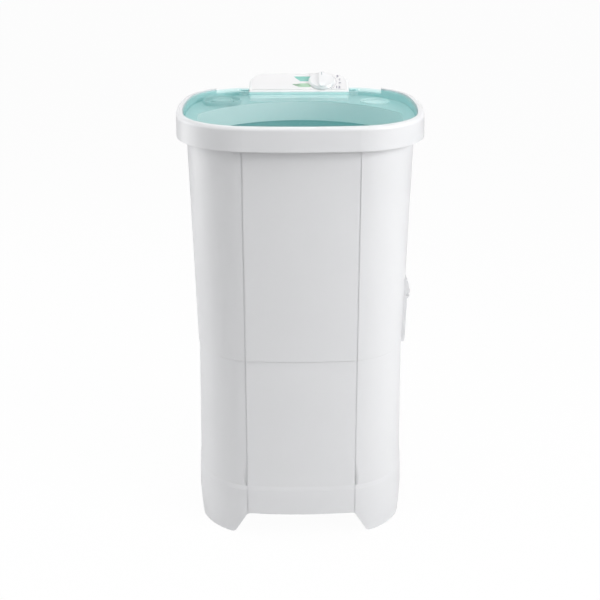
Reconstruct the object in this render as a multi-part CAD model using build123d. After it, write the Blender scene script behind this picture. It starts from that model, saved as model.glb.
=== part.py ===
from build123d import *
import os
from math import asin, atan2, cos, degrees, hypot, radians, sin, sqrt, tan

# A small top-loading washing machine in moulded plastic.
# Millimetres, +Z up, front towards -Y, origin on the floor under the middle of the machine.

# Plan outline, shared by every shell: eight tangent arcs
rim_width = 500.0
rim_depth = 450.0
front_bow_radius = 1040.0
side_bow_radius = 626.0
corner_radius = 151.0

# Levels above the floor
foot_plastic_z = 2.0
panel_edge_z = 55.0
base_band_z = 112.0
seam_z = 415.0
rim_bottom_z = 857.0
deck_z = 883.0
lid_top_z = 900.0
rim_top_z = 902.0

# Insets of each shell from the rim's outer outline
rim_draft = 1.5
rim_lip_inset = 14.0
cabinet_top_inset = 20.0
cabinet_seam_inset = 27.5
base_taper_inset = 22.5
base_band_inset = 20.5
base_foot_inset = 18.4
shoulder_inset = 29.5

# Walls and clearances
shell_wall = 3.0
rim_lip_thickness = 4.5
rim_round = 7.0
flange_thickness = 3.0
seat_gap = 0.3
slip_gap = 0.5
running_gap = 0.05
spigot_height = 22.0
band_step_height = 10.0
base_spigot_height = 10.0
seam_round = 1.6

# Vertical panel seams
seam_half_top = 112.0
seam_half_bottom = 115.7
side_seam_half = 92.0
groove_width = 2.4
groove_depth = 1.2

# Legs
leg_slope_run = 30.0
side_leg_slope_run = 26.0
leg_root_radius = 12.0
leg_toe_radius = 13.0
pad_radius = 13.0
pad_height = 7.0
pad_chamfer = 1.0

# Mouth and tub
mouth_inset = 42.0
mouth_rear_radius = 230.0
mouth_rear_margin = 94.0
mouth_corner_radius = 26.0
collar_depth = 41.0
collar_wall = 2.5
collar_gap = 2.2
tub_flange_width = 9.0
tub_taper = 16.0
tub_root_radius = 24.0
tub_forward = 7.0
tub_floor_z = 438.0
floor_thickness = 4.0
drain_hole_radius = 10.0
seal_radius = 15.0
seal_squeeze = 0.1

# Deck fittings, placed from the outline's sides and rear
cup_side_margin = 85.0
cup_rear_margin = 113.0
cup_radius = 41.0
cup_well_radius = 28.0
cup_cap_radius = 22.0
cup_collar_height = 8.5
cup_depth = 18.0
cup_post_radius = 5.0
cup_rim_round = 1.0
dish_side_margin = 87.0
dish_rear_margin = 97.0
dish_radius = 28.0
dish_depth = 9.0
dish_lip_width = 4.0
dish_lip_height = 2.2
cup_wall = 2.2

# Control housing, placed from the outline's rear
housing_half_width = 108.5
housing_front_margin = 75.0
housing_front_height = 18.5
housing_back_margin = 4.0
face_tilt = 25.5
face_length = 67.0
face_corner_radius = 36.0
face_edge_radius = 3.5
housing_wall = 2.5
housing_rear_drop = 5.0
face_prism_depth = 120.0
step_reach = 15.5
step_half_width = 105.5
step_height = 8.0
step_round = 2.5
bay_half_width = 182.0
bay_drop = 12.0
bay_reach = 33.0
fascia_margin = 6.0
fascia_thickness = 1.2
fascia_proud = 0.3
fascia_corner_radius = 3.0

# Timer and knob
knob_x = 50.0
knob_radius = 29.0
knob_disc_height = 7.0
knob_total_height = 12.4
grip_width = 13.0
grip_end_radius = 5.0
timer_size = 40.0
timer_depth = 20.0
timer_shaft_radius = 3.0
timer_seat = 0.9
shaft_in_timer = 13.0
shaft_in_knob = 9.0
shaft_hole_gap = 1.5

# Lid and hinge
lid_gap = 0.7
lid_thickness = 3.0
lid_edge_radius = 1.6
lid_skirt_wall = 2.6
hinge_rear_margin = 27.0
hinge_z = 895.5
barrel_radius = 4.5
barrel_length = 22.0
notch_side_gap = 1.5
notch_reach = 51.0
notch_lip_height = 3.0
pin_radius = 2.0
pin_engagement = 12.0
pin_boss_wall = 2.5
pin_end_gap = 2.0

# Drive: shaft, pulleys, belt and motor
shaft_radius = 7.0
pulley_spacing = 130.0
large_pitch_radius = 96.0
small_pitch_radius = 21.0
belt_z = 248.0
belt_thickness = 6.0
belt_outer_half = 5.0
belt_inner_half = 3.2
belt_gap = 0.4
pulley_lip = 4.5
pulley_half_height = 9.0
hub_half_height = 11.0
large_hub_radius = 18.0
small_hub_radius = 12.0
pulley_web_half = 2.5
pulley_hole_radius = 13.0
pulley_hole_count = 6
bearing_tube_radius = 20.0
bearing_flange_radius = 48.0
bearing_bottom_z = 262.0
bush_radius = 11.0
bush_length = 26.0
bearing_bolt_radius = 2.6
bearing_bolt_margin = 9.0
shaft_below_belt = 18.0
shaft_below_hub = 16.0
platform_z = 266.0
platform_thickness = 3.0
platform_half_width = 95.0
platform_margin = 6.0
platform_corner_radius = 12.0
platform_flange = 14.0
post_radius = 8.0
post_bore_radius = 3.0
post_screw_radius = 2.9
post_screw_grip = 30.0
screw_head_radius = 6.0
screw_head_height = 4.0
screw_gap = 0.2
post_x = 80.0
post_front_reach = 79.0
post_rear_reach = 63.0
motor_radius = 58.0
motor_height = 124.0
motor_shaft_radius = 5.0
motor_shaft_grip = 58.0
motor_bolt_margin = 10.0
motor_bolt_radius = 2.5
motor_bolt_grip = 12.0
motor_vent_count = 12
motor_vent_height = 12.0
capacitor_x = -68.0
capacitor_radius = 17.0
capacitor_height = 72.0
strap_thickness = 1.5
strap_low = 20.0
strap_width = 14.0

# Wash plate
plate_radius = 100.0
plate_floor_gap = 3.0
plate_edge_height = 8.0
plate_hub_radius = 24.0
plate_hub_rise = 51.0
plate_wall = 3.5
vane_count = 6
vane_thickness = 6.0
vane_bow_radius = 70.0
vane_lean = 25.0
cap_plug_radius = 7.8

# Drain
drain_x = 122.0
drain_pipe_radius = 11.0
drain_pipe_wall = 2.0
drain_outlet_z = 150.0
drain_bend_radius = 34.0
drain_spigot_radius = 12.0
drain_spigot_length = 26.0
drain_collar_height = 2.5
drain_collar_width = 5.0
drain_tail = 16.0
barb_count = 2
barb_depth = 0.8
barb_pitch = 3.0

# Lint filter
filter_half_width = 42.0
filter_height = 104.0
filter_depth = 14.0
filter_bottom_z = 628.0
filter_wall = 2.0
filter_lift = 12.0
filter_slot_count = 9
filter_slot_pitch = 8.4
filter_slot_width = 4.4
peg_half_width = 4.0
peg_height = 5.0
peg_spacing = 27.0
peg_drop = 16.0
peg_tip_thickness = 2.5
peg_tip_height = 4.0
peg_side_gap = 0.8

# Rear cover, gland and side keeper
cover_half_width = 92.0
cover_lift = 9.0
cover_top_z = 392.0
cover_thickness = 2.2
cover_lap = 9.0
cover_screw_radius = 1.9
cover_screw_head = 3.8
cover_screw_grip = 8.2
vent_half_width = 60.0
vent_rise = 36.0
vent_count = 7
vent_pitch = 13.0
vent_height = 4.0
gland_x = -128.0
gland_z = 150.0
gland_radius = 9.0
gland_bore = 3.6
gland_inner_length = 12.0
gland_outer_length = 9.0
boss_width = 6.0
boss_proud = 1.0
keeper_seam_gap = 7.0
keeper_half_width = 15.0
keeper_bottom_z = 417.0
keeper_top_z = 560.0
keeper_proud = 4.5
keeper_nose = 9.0
keeper_slot_z = 521.0
keeper_slot_height = 7.0

# Places that follow from the outline
half_width = rim_width / 2
half_depth = rim_depth / 2
mouth_rear_y = half_depth - mouth_rear_margin
cup_x = cup_side_margin - half_width
cup_y = half_depth - cup_rear_margin
dish_x = half_width - dish_side_margin
dish_y = half_depth - dish_rear_margin
housing_front_y = half_depth - housing_front_margin
housing_back_y = half_depth - housing_back_margin
step_front_y = housing_front_y - step_reach
hinge_y = half_depth - hinge_rear_margin
bay_front_y = hinge_y - bay_reach
tub_y = (mouth_rear_y + mouth_inset - half_depth) / 2 - tub_forward
motor_y = tub_y + pulley_spacing
post_front_y = tub_y - post_front_reach
post_rear_y = tub_y + post_rear_reach
platform_front_y = post_front_y - post_radius - platform_margin
platform_rear_y = motor_y + motor_radius + platform_margin
platform_top_z = platform_z + platform_thickness
capacitor_y = platform_rear_y - capacitor_radius - platform_margin
plate_edge_z = tub_floor_z + plate_floor_gap
plate_hub_z = plate_edge_z + plate_hub_rise
shaft_top_z = plate_hub_z - shaft_below_hub
shaft_bottom_z = belt_z - shaft_below_belt
tub_underside_z = tub_floor_z - floor_thickness
keeper_y = keeper_seam_gap - side_seam_half
band_top_z = base_band_z + band_step_height
cover_bottom_z = band_top_z + cover_lift

os.makedirs("parts", exist_ok=True)


def save(name, part):
    """Write one sub-part, as one solid or as a group of separate solids."""
    solids = part.solids() if hasattr(part, "solids") else [part]
    shape = solids[0] if len(solids) == 1 else Compound(children=list(solids))
    export_step(shape, f"parts/{name}.step")


# Plan outlines and simple solids

front_centre = Vector(0, half_depth - front_bow_radius)
side_centre = Vector(half_width - side_bow_radius, 0)


def find_corner_centre():
    """Where the corner arc's centre must lie to touch both bows inside."""
    reach_front = front_bow_radius - corner_radius
    reach_side = side_bow_radius - corner_radius
    span = (side_centre - front_centre).length
    along = (reach_front**2 - reach_side**2 + span**2) / (2 * span)
    across = sqrt(reach_front**2 - along**2)
    unit = (side_centre - front_centre).normalized()
    return front_centre + unit * along + Vector(unit.Y, -unit.X) * across


corner_centre = find_corner_centre()
to_front = (corner_centre - front_centre).normalized()
to_side = (corner_centre - side_centre).normalized()


def plan_wire(inset, z):
    """The machine's outline at a height, moved in from the rim's outer face."""
    r = corner_radius - inset
    on_front = corner_centre + to_front * r
    on_side = corner_centre + to_side * r
    middle = corner_centre + (to_front + to_side).normalized() * r
    front = Vector(0, half_depth - inset)
    side = Vector(half_width - inset, 0)

    def arc(*points):
        return Edge.make_three_point_arc(*[(p.X * sx, p.Y * sy, z) for p, sx, sy in points])

    edges = []
    for s in (1, -1):
        edges.append(arc((on_side, s, -s), (side, s, s), (on_side, s, s)))
        edges.append(arc((on_side, s, s), (middle, s, s), (on_front, s, s)))
        edges.append(arc((on_front, s, s), (front, s, s), (on_front, -s, s)))
        edges.append(arc((on_front, -s, s), (middle, -s, s), (on_side, -s, s)))
    return Wire(edges)


def rear_y(inset, x):
    """How far back the outline reaches at a given X."""
    r = corner_radius - inset
    if abs(x) > (corner_centre + to_front * r).X:
        return corner_centre.Y + sqrt(r**2 - (abs(x) - corner_centre.X) ** 2)
    return front_centre.Y + sqrt((front_bow_radius - inset) ** 2 - x**2)


def side_x(inset, y):
    """How far out the outline reaches at a given Y."""
    r = corner_radius - inset
    if abs(y) > (corner_centre + to_side * r).Y:
        return corner_centre.X + sqrt(r**2 - (abs(y) - corner_centre.Y) ** 2)
    return side_centre.X + sqrt((side_bow_radius - inset) ** 2 - y**2)


def tapered(*sections):
    """A ruled solid through outlines given as (inset, height)."""
    return Solid.make_loft([plan_wire(inset, z) for inset, z in sections], ruled=True)


def prism(inset, z0, z1):
    return Solid.extrude(Face(plan_wire(inset, z0)), Vector(0, 0, z1 - z0))


def block(x0, x1, y0, y1, z0, z1):
    return Pos((x0 + x1) / 2, (y0 + y1) / 2, (z0 + z1) / 2) * Box(x1 - x0, y1 - y0, z1 - z0)


def disc(radius, z0, z1, x=0.0, y=0.0):
    return Pos(x, y, (z0 + z1) / 2) * Cylinder(radius, z1 - z0)


def ring(outer, inner, z0, z1, x=0.0, y=0.0):
    return disc(outer, z0, z1, x, y) - disc(inner, z0 - 1, z1 + 1, x, y)


def turned(points, x=0.0, y=0.0):
    """A solid of revolution about a vertical axis, from (radius, height) points."""
    profile = make_face(Plane.XZ * Polyline(*points, close=True))
    return Pos(x, y, 0) * revolve(profile, Axis.Z)


def side_extrusion(points, x0, x1):
    """A prism along X from a (Y, Z) outline."""
    face = make_face(Plane.YZ * Polyline(*points, close=True))
    return Pos(x0, 0, 0) * extrude(face, x1 - x0, dir=(1, 0, 0))


# Cabinet shells

cabinet_top_z = deck_z - 2 * flange_thickness
spigot_inset = cabinet_seam_inset + shell_wall + slip_gap
tub_wall_reach = collar_wall + collar_gap + shell_wall


def cabinet_inset(z):
    """The upper cabinet's outer inset at a height."""
    share = (z - seam_z) / (cabinet_top_z - seam_z)
    return cabinet_seam_inset + share * (cabinet_top_inset - cabinet_seam_inset)


def base_inset(z):
    """The lower cabinet's outer inset at a height above its base band."""
    share = (z - band_top_z) / (seam_z - band_top_z)
    return base_taper_inset + share * (shoulder_inset - base_taper_inset)


base_spigot_inset = base_inset(band_top_z + base_spigot_height) + shell_wall + slip_gap


def seam_slabs(z0, z1):
    """Eight thin upright slabs where the seams between panels and corner pillars run."""
    tilt = degrees(atan2(seam_half_bottom - seam_half_top, cabinet_top_z - panel_edge_z))
    middle = (seam_half_top + seam_half_bottom) / 2
    slab = Box(groove_width, rim_depth, z1 - z0)
    side_slab = Box(rim_width, groove_width, z1 - z0)
    mid_z = (cabinet_top_z + panel_edge_z) / 2
    slabs = []
    for sign in (-1, 1):
        shift = sign * (middle - ((z0 + z1) / 2 - mid_z) * tan(radians(tilt)))
        slabs.append(Pos(shift, 0, (z0 + z1) / 2) * Rot(0, -sign * tilt, 0) * slab)
        slabs.append(Pos(0, sign * side_seam_half, (z0 + z1) / 2) * side_slab)
    return slabs


def cut_seams(shell, core, z0, z1):
    for slab in seam_slabs(z0, z1):
        shell = shell - (slab - core)
    return shell


def make_upper_cabinet():
    outer = tapered((cabinet_seam_inset, seam_z), (cabinet_top_inset, cabinet_top_z))
    outer = fillet(outer.edges().group_by(Axis.Z)[0], seam_round)
    roof_z = cabinet_top_z - flange_thickness
    inner = tapered(
        (cabinet_inset(seam_z - 1) + shell_wall, seam_z - 1),
        (cabinet_inset(roof_z) + shell_wall, roof_z),
    )
    shell = outer - inner - prism(mouth_inset - tub_wall_reach - slip_gap, roof_z - 1, cabinet_top_z + 1)
    core = tapered(
        (cabinet_inset(seam_z - 1) + groove_depth, seam_z - 1),
        (cabinet_top_inset + groove_depth, cabinet_top_z),
    )
    return cut_seams(shell, core, seam_z - 1, rim_bottom_z)


def arch_tool(half_span, slope_run, length, along_x):
    """The space under a panel, between two legs, with sloped and rounded flanks."""
    top = panel_edge_z
    root = half_span
    toe = half_span + slope_run
    wide = rim_width
    points = [
        (-wide, -30), (-wide, foot_plastic_z), (-toe, foot_plastic_z), (-root, top),
        (root, top), (toe, foot_plastic_z), (wide, foot_plastic_z), (wide, -30),
    ]
    plane = Plane.YZ if along_x else Plane.XZ
    face = make_face(plane * Polyline(*points, close=True))
    toes = [v for v in face.vertices() if abs(v.Z - foot_plastic_z) < 0.01 and hypot(v.X, v.Y) < toe + 1]
    face = fillet(toes, leg_toe_radius)
    roots = [v for v in face.vertices() if abs(v.Z - top) < 0.01]
    face = fillet(roots, leg_root_radius)
    direction = (1, 0, 0) if along_x else (0, 1, 0)
    return extrude(face, length / 2, dir=direction, both=True)


def base_sections(extra, top_inset):
    return [
        (base_foot_inset + extra, foot_plastic_z),
        (base_foot_inset + extra, panel_edge_z),
        (base_band_inset + extra, base_band_z),
        (top_inset + extra, band_top_z),
    ]


def open_prism(inset, z0, z1):
    """An upright band with a shell's wall, open at both ends."""
    return prism(inset, z0, z1) - prism(inset + shell_wall, z0 - 1, z1 + 1)


def make_base_frame():
    """The base moulding: a band on four legs, with a spigot that the lower cabinet slides over."""
    outer = tapered(*base_sections(0, base_taper_inset))
    inner = tapered(*base_sections(shell_wall, base_spigot_inset))
    core = tapered(*base_sections(groove_depth, base_taper_inset))
    shell = outer - inner + open_prism(base_spigot_inset, band_top_z, band_top_z + base_spigot_height)
    front_arch = arch_tool(seam_half_bottom, leg_slope_run, 2 * rim_depth, False)
    side_arch = arch_tool(side_seam_half, side_leg_slope_run, 2 * rim_width, True)
    blocks = outer & block(-rim_width, rim_width, -rim_depth, rim_depth, -10, panel_edge_z + shell_wall)
    centre = block(-seam_half_bottom, seam_half_bottom, -rim_depth, rim_depth, -20, panel_edge_z + 20)
    across = block(-rim_width, rim_width, -side_seam_half, side_seam_half, -20, panel_edge_z + 20)
    blocks = blocks - centre - across
    pocket = inner & block(-rim_width, rim_width, -rim_depth, rim_depth,
                           foot_plastic_z + pad_height + shell_wall, panel_edge_z + 30)
    pocket = pocket - Pos(0, 0, shell_wall) * front_arch - Pos(0, 0, shell_wall) * side_arch
    pocket = pocket - block(-seam_half_bottom - shell_wall, seam_half_bottom + shell_wall,
                            -rim_depth, rim_depth, -20, panel_edge_z + 40)
    pocket = pocket - block(-rim_width, rim_width, -side_seam_half - shell_wall,
                            side_seam_half + shell_wall, -20, panel_edge_z + 40)
    base = (shell + blocks) - front_arch - side_arch
    base = base - pocket
    for x, y in pad_places():
        base = base - disc(pad_radius + slip_gap, -1, pad_height + seat_gap, x, y)
    return cut_seams(base, core, foot_plastic_z, band_top_z)


def make_lower_cabinet():
    outer = tapered((base_taper_inset, band_top_z), (shoulder_inset, seam_z))
    inner = tapered((base_taper_inset + shell_wall, band_top_z), (spigot_inset + shell_wall, seam_z))
    core = tapered((base_taper_inset + groove_depth, band_top_z), (shoulder_inset + groove_depth, seam_z))
    shell = outer - inner + open_prism(spigot_inset, seam_z, seam_z + spigot_height)
    base = cut_seams(shell, core, band_top_z, seam_z)
    window = block(
        -cover_half_width + cover_lap, cover_half_width - cover_lap, 0, rim_depth,
        cover_bottom_z + cover_lap, cover_top_z - cover_lap,
    )
    base = base - window
    for x, z in cover_screw_places():
        base = base - rear_frame(x, z) * Cylinder(cover_screw_radius + running_gap, 8 * shell_wall)
    for x, z, radius in ((drain_x, drain_outlet_z, drain_spigot_radius), (gland_x, gland_z, gland_radius)):
        face_y = boss_face_y(x, z, radius)
        boss = Pos(x, face_y - 10, z) * Rot(90, 0, 0) * Cylinder(radius + boss_width, 20)
        base = base + (boss - inner)
        base = base - Pos(x, face_y, z) * Rot(90, 0, 0) * Cylinder(radius + running_gap, 60)
    return base


def boss_face_y(x, z, radius):
    """The flat outer face of a boss that stands just proud of the bowed wall."""
    reach = radius + boss_width
    return max(rear_y(base_inset(z - reach), x - reach), rear_y(base_inset(z - reach), x + reach)) + boss_proud


def rear_frame(x, z, proud=0.0):
    """A place on the lower cabinet's rear bow, its Z axis square to the wall."""
    inset = base_inset(z)
    lean = (shoulder_inset - base_taper_inset) / (seam_z - band_top_z)
    slant = x / (front_bow_radius - inset)
    out = Vector(slant, sqrt(1 - slant**2), lean).normalized()
    origin = Vector(x, rear_y(inset, x), z) + out * proud
    return Plane(origin=origin, x_dir=(out.Y, -out.X, 0), z_dir=out).location


def pad_places():
    """Centres of the four foot pads, half way between a leg's inner corner and its outer face."""
    toe = Vector(seam_half_bottom + leg_slope_run, side_seam_half + side_leg_slope_run)
    out = toe - corner_centre
    centre = corner_centre + out.normalized() * (out.length + corner_radius - base_foot_inset) / 2
    return [(sx * centre.X, sy * centre.Y) for sx in (-1, 1) for sy in (-1, 1)]


def make_foot_pads():
    pads = []
    for x, y in pad_places():
        pad = disc(pad_radius, 0, pad_height, x, y)
        pads.append(chamfer(pad.edges().group_by(Axis.Z)[0], pad_chamfer))
    return Compound(children=pads)


# Rim band and deck

def make_rim_frame():
    channel_top = rim_top_z - rim_lip_thickness
    ledge_top = deck_z - flange_thickness
    ledge_bottom = cabinet_top_z
    ledge_inset = cabinet_top_inset + 4
    rim = tapered((0, rim_bottom_z), (rim_draft, rim_top_z))
    rim = fillet(rim.edges().group_by(Axis.Z)[-1], rim_round)
    rim = rim - prism(rim_lip_inset, ledge_top, rim_top_z + 1)
    hollow = tapered((shell_wall, rim_bottom_z), (shell_wall + rim_draft, channel_top))
    hollow = hollow - prism(rim_lip_inset - shell_wall, ledge_bottom, channel_top)
    rim = rim - hollow
    rim = rim - prism(ledge_inset, ledge_bottom, ledge_top)
    bay_floor = block(-bay_half_width, bay_half_width, bay_front_y, rim_depth, bay_floor_z, rim_top_z + 20)
    rim = rim - bay_floor
    floor = tapered((rim_draft, bay_floor_z - shell_wall), (rim_draft, bay_floor_z))
    floor = floor - prism(rim_lip_inset - 1, bay_floor_z - shell_wall, bay_floor_z)
    floor = floor & block(-bay_half_width - shell_wall, bay_half_width + shell_wall,
                          bay_front_y - shell_wall, rim_depth, 0, rim_top_z)
    return rim + floor


def mouth_face(grow, z):
    """The mouth's outline: the plan outline cut by a wide arc at the rear."""
    outline = Face(plan_wire(mouth_inset - grow, z))
    arc_centre = mouth_rear_y - mouth_rear_radius
    arc = Pos(0, arc_centre, z) * Circle(mouth_rear_radius + grow).face()
    face = (outline & arc).faces()[0]
    corners = [
        v for v in face.vertices()
        if v.Y > 0 and abs(hypot(v.X, v.Y - arc_centre) - mouth_rear_radius - grow) < 0.01
    ]
    return face.fillet_2d(mouth_corner_radius + grow, corners)


def mouth_prism(grow, z0, z1):
    return extrude(mouth_face(grow, z0), z1 - z0, dir=(0, 0, 1))


def make_top_deck():
    deck = prism(rim_lip_inset + slip_gap, deck_z - flange_thickness, deck_z)
    collar_bottom = deck_z - collar_depth
    deck = deck + mouth_prism(collar_wall, collar_bottom, deck_z) - mouth_prism(0, collar_bottom - 1, deck_z + 1)
    deck = deck - disc(cup_well_radius + seat_gap, 0, rim_top_z, cup_x, cup_y)
    deck = deck - disc(dish_radius + seat_gap, 0, rim_top_z, dish_x, dish_y)
    return deck


def tub_solid(grow, z0, z1):
    """The tub's form between two heights, narrowing towards its floor."""
    def inset_at(z):
        return tub_taper * (tub_top_z - z) / (tub_top_z - tub_floor_z)
    return Solid.make_loft([
        mouth_face(grow - inset_at(z0), z0).outer_wire(), mouth_face(grow - inset_at(z1), z1).outer_wire(),
    ], ruled=True)


tub_top_z = deck_z - flange_thickness


def make_wash_tub():
    reach = tub_wall_reach
    tub = mouth_prism(reach + tub_flange_width, tub_top_z - flange_thickness, tub_top_z)
    lower = tub_solid(reach, tub_floor_z - floor_thickness, tub_top_z)
    lower = fillet(lower.edges().group_by(Axis.Z)[0], tub_root_radius + shell_wall)
    bore = tub_solid(reach - shell_wall, tub_floor_z, tub_top_z)
    bore = fillet(bore.edges().group_by(Axis.Z)[0], tub_root_radius)
    tub = tub + lower - bore
    tub = tub - disc(cup_well_radius + slip_gap, tub_top_z - flange_thickness - 1, tub_top_z + 1, cup_x, cup_y)
    tub = tub - disc(seal_radius + running_gap, 0, tub_floor_z + 1, 0, tub_y)
    tub = tub - disc(drain_hole_radius, 0, tub_floor_z + 1, drain_x, tub_y)
    for sign in (-1, 1):
        tub = tub + filter_peg(sign)
    return tub


# Softener cup and soap dish in the rear corners

def make_softener_cup():
    top = deck_z + cup_collar_height
    floor = deck_z - cup_depth
    r = cup_radius
    well = cup_well_radius
    return turned([
        (0, floor - cup_wall), (well - 2, floor - cup_wall), (well, floor), (well, deck_z), (r, deck_z),
        (r, top - cup_rim_round), (r - cup_rim_round, top), (r - cup_wall, top),
        (r - cup_wall, deck_z + cup_wall),
        (well - cup_wall, deck_z + cup_wall), (well - cup_wall, floor), (0, floor),
    ], cup_x, cup_y)


def make_softener_cap():
    """A bell-shaped cap on a post that stands on the cup's floor."""
    top = deck_z + cup_collar_height
    floor = deck_z - cup_depth
    cap_r = cup_cap_radius
    return turned([
        (0, floor), (cup_post_radius, floor), (cup_post_radius, top - 7.0),
        (cap_r - cup_wall, top - 7.0), (cap_r - cup_wall, floor + 4.0), (cap_r, floor + 4.0),
        (cap_r, top - cup_rim_round), (cap_r - cup_rim_round, top), (cap_r - cup_wall, top),
        (cap_r - 2 * cup_wall, top - 2.5), (0, top - 3.5),
    ], cup_x, cup_y)


def make_soap_dish():
    top = deck_z + dish_lip_height
    floor = deck_z - dish_depth
    r = dish_radius
    lip = r + dish_lip_width
    return turned([
        (0, floor - cup_wall), (r - 9.0, floor - cup_wall), (r, deck_z - 3.0),
        (r, deck_z), (lip, deck_z), (lip, top - 0.8),
        (lip - 0.8, top), (r - cup_wall, top - 0.6), (r - cup_wall, deck_z - 2.4),
        (r - 10.0, floor), (0, floor),
    ], dish_x, dish_y)


# Control housing, with a face tilted towards the user

face_low_z = deck_z + housing_front_height
face_plane = Plane(
    origin=(0, housing_front_y, face_low_z), x_dir=(1, 0, 0),
    z_dir=(0, -sin(radians(face_tilt)), cos(radians(face_tilt))),
)
face_top_y = housing_front_y + face_length * cos(radians(face_tilt))
face_top_z = face_low_z + face_length * sin(radians(face_tilt))
bay_floor_z = rim_top_z - bay_drop
deck_rear_y = rear_y(rim_lip_inset, housing_half_width) - slip_gap


def face_prism(margin, depth, proud):
    """A prism square to the control face, with the large upper corners."""
    half = housing_half_width - margin
    low = -60.0 if margin < fascia_margin else margin
    height = face_length - margin - low
    shape = Pos(0, low + height / 2) * Rectangle(2 * half, height)
    upper = shape.vertices().group_by(Axis.Y)[-1]
    shape = fillet(upper, face_corner_radius - margin)
    if margin >= fascia_margin:
        shape = fillet(shape.vertices().group_by(Axis.Y)[0], fascia_corner_radius)
    return extrude(face_plane.offset(-depth) * shape, depth + proud)


def make_control_housing():
    body = side_extrusion([
        (housing_front_y, deck_z), (housing_front_y, face_low_z), (face_top_y, face_top_z),
        (housing_back_y, face_top_z - housing_rear_drop), (housing_back_y, bay_floor_z),
        (deck_rear_y, bay_floor_z), (deck_rear_y, deck_z),
    ], -housing_half_width, housing_half_width)
    body = body & face_prism(0, face_prism_depth, 1)
    face_edges = [
        e for e in body.edges()
        if abs(face_plane.to_local_coords(e.center()).Z) < 0.01
        and abs(face_plane.to_local_coords(e.position_at(0)).Z) < 0.01
    ]
    body = fillet(face_edges, face_edge_radius)
    step = block(-step_half_width, step_half_width, step_front_y, housing_front_y + 1,
                 deck_z, deck_z + step_height)
    step = fillet(step.edges().group_by(Axis.Z)[-1].sort_by(Axis.Y)[0], step_round)
    body = body + step
    wall = housing_wall
    slope = tan(radians(face_tilt))
    rise = wall / cos(radians(face_tilt))
    hollow_top_y = face_top_y - wall
    hollow = side_extrusion([
        (housing_front_y + wall, deck_z - 10),
        (housing_front_y + wall, face_low_z + wall * slope - rise),
        (hollow_top_y, face_top_z - wall * slope - rise),
        (housing_back_y - wall, face_top_z - housing_rear_drop - rise - 1.5),
        (housing_back_y - wall, deck_z - 10),
    ], -housing_half_width + wall, housing_half_width - wall)
    hollow = hollow & face_prism(wall, face_prism_depth, 1)
    step_hollow = block(-step_half_width + wall, step_half_width - wall,
                        step_front_y + wall, housing_front_y + wall + 1,
                        deck_z - 10, deck_z + step_height - wall)
    body = body - hollow - step_hollow
    for sign in (-1, 1):
        boss = Pos(sign * (housing_half_width - pin_engagement / 2 - 1), hinge_y, hinge_z) * Rot(0, 90, 0)
        body = body + boss * Cylinder(pin_radius + pin_boss_wall, pin_engagement)
        hole = Pos(sign * housing_half_width, hinge_y, hinge_z) * Rot(0, 90, 0)
        body = body - hole * Cylinder(pin_radius + running_gap, 3 * pin_engagement)
    body = body - face_prism(fascia_margin - slip_gap, fascia_thickness - fascia_proud, 2)
    return body - shaft_hole()


knob_origin = face_plane.from_local_coords((knob_x, face_length / 2, 0))
knob_plane = Plane(origin=knob_origin, x_dir=(1, 0, 0), z_dir=face_plane.z_dir)
knob_location = knob_plane.location
timer_top = -housing_wall - timer_seat
knob_bore_top = shaft_in_knob - timer_top


def shaft_hole():
    return knob_location * Cylinder(timer_shaft_radius + shaft_hole_gap, 2 * timer_depth)


def make_control_fascia():
    return face_prism(fascia_margin, fascia_thickness - fascia_proud, fascia_proud) - shaft_hole()


def make_timer_body():
    body = Pos(0, 0, timer_top - timer_depth / 2) * Box(timer_size, timer_size, timer_depth)
    body = fillet(body.edges().filter_by(Axis.Z), 3.0)
    collar = Pos(0, 0, timer_top + 0.6) * Cylinder(timer_shaft_radius + 1.2, 1.2)
    body = body + collar
    bore = Cylinder(timer_shaft_radius + running_gap, 2 * (shaft_in_timer + 1))
    return knob_location * (body - Pos(0, 0, timer_top) * bore)


def make_timer_shaft():
    length = shaft_in_timer + knob_bore_top
    shaft = Pos(0, 0, timer_top - shaft_in_timer + length / 2) * Cylinder(timer_shaft_radius, length)
    return knob_location * shaft


def make_timer_knob():
    base = fascia_proud + slip_gap
    skirt = turned([
        (0, base), (knob_radius, base), (knob_radius, base + 2.0),
        (knob_radius - 3.0, knob_disc_height), (0, knob_disc_height + 0.8),
    ])
    bar = Pos(0, 0, (base + knob_total_height) / 2) * Box(
        grip_width, 2 * knob_radius - 5, knob_total_height - base)
    bar = fillet(bar.edges().filter_by(Axis.Z), grip_end_radius)
    dome = turned([
        (0, base), (knob_radius - 2.5, base), (knob_radius - 2.5, knob_disc_height + 2.0),
        (knob_radius - 9.0, knob_total_height - 0.6), (0, knob_total_height),
    ])
    knob = skirt + (bar & dome)
    bore_top = timer_top + knob_bore_top + running_gap
    bore = Pos(0, 0, bore_top / 2 - 5) * Cylinder(timer_shaft_radius + running_gap, bore_top + 10)
    return knob_location * (knob - bore)


# Lid with its notch round the control housing

lid_inset = rim_lip_inset + lid_gap
lid_skirt_bottom_z = deck_z + seat_gap
notch_y = hinge_y - sqrt(notch_reach**2 - (lid_top_z - hinge_z) ** 2)
notch_half = housing_half_width + notch_side_gap


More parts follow.
